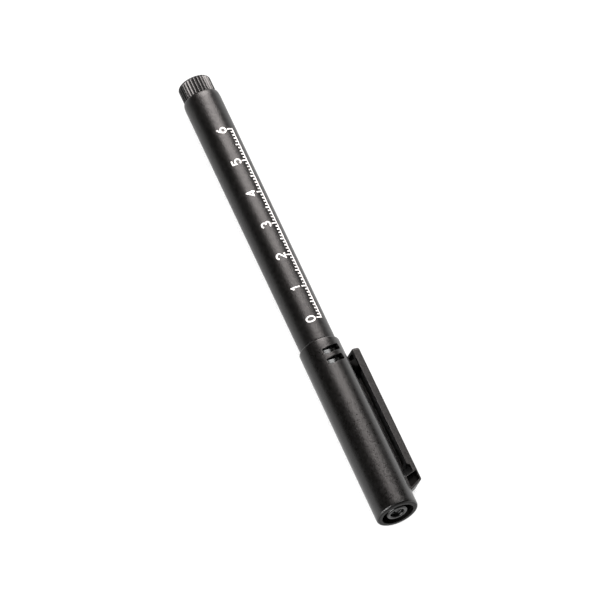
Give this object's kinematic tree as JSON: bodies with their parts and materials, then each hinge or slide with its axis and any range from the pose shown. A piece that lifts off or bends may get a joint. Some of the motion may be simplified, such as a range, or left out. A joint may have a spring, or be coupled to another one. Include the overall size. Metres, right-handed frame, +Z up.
{
  "type": "permanent marker",
  "caption": "Round-barrelled fibre-tip permanent marker with a ribbed tail plug and a pull-off cap that has click windows, an open ringed end and a long spring clip.",
  "frame": {"origin": "on the marker's axis, in the middle of the barrel's length", "axes": "+X along the marker's axis towards the ribbed tail, with the nib and the cap's end towards -X; +Z up, with the marker lying on its cap and on the clip's outer corner; the clip points to -Y and down"},
  "size_m": [0.1376, 0.016, 0.0118],
  "materials": {
    "satin_black": "satin moulded polypropylene, near black",
    "plug_black": "satin moulded polypropylene, near black",
    "gloss_black": "smoother moulded polypropylene, black",
    "nib_fibre": "bonded fibre, stained with black ink",
    "ink_fibre": "fibre soaked with black ink",
    "film": "thin clear film"
  },
  "bodies": {
    "barrel": {"barrel": "satin_black", "tail_plug": "plug_black", "front_section": "gloss_black", "nib": "nib_fibre", "ink_reservoir": "ink_fibre", "reservoir_film": "film"},
    "cap": {"cap_shell": "satin_black", "cap_liner": "gloss_black"},
    "clip": {"clip": "gloss_black"}
  },
  "joints": [
    {"name": "cap_pull", "type": "slide", "parent": "barrel", "child": "cap", "axis": [-1, 0, 0], "range_m": [0, 0.06]},
    {"name": "clip_flex", "type": "hinge", "parent": "cap", "child": "clip", "pos_m": [-0.08115, -0.0087, -0.00369], "axis": [0, 0.3905, -0.9206], "range_deg": [0, 4], "stiffness_Nm_per_rad": 1.2}
  ]
}
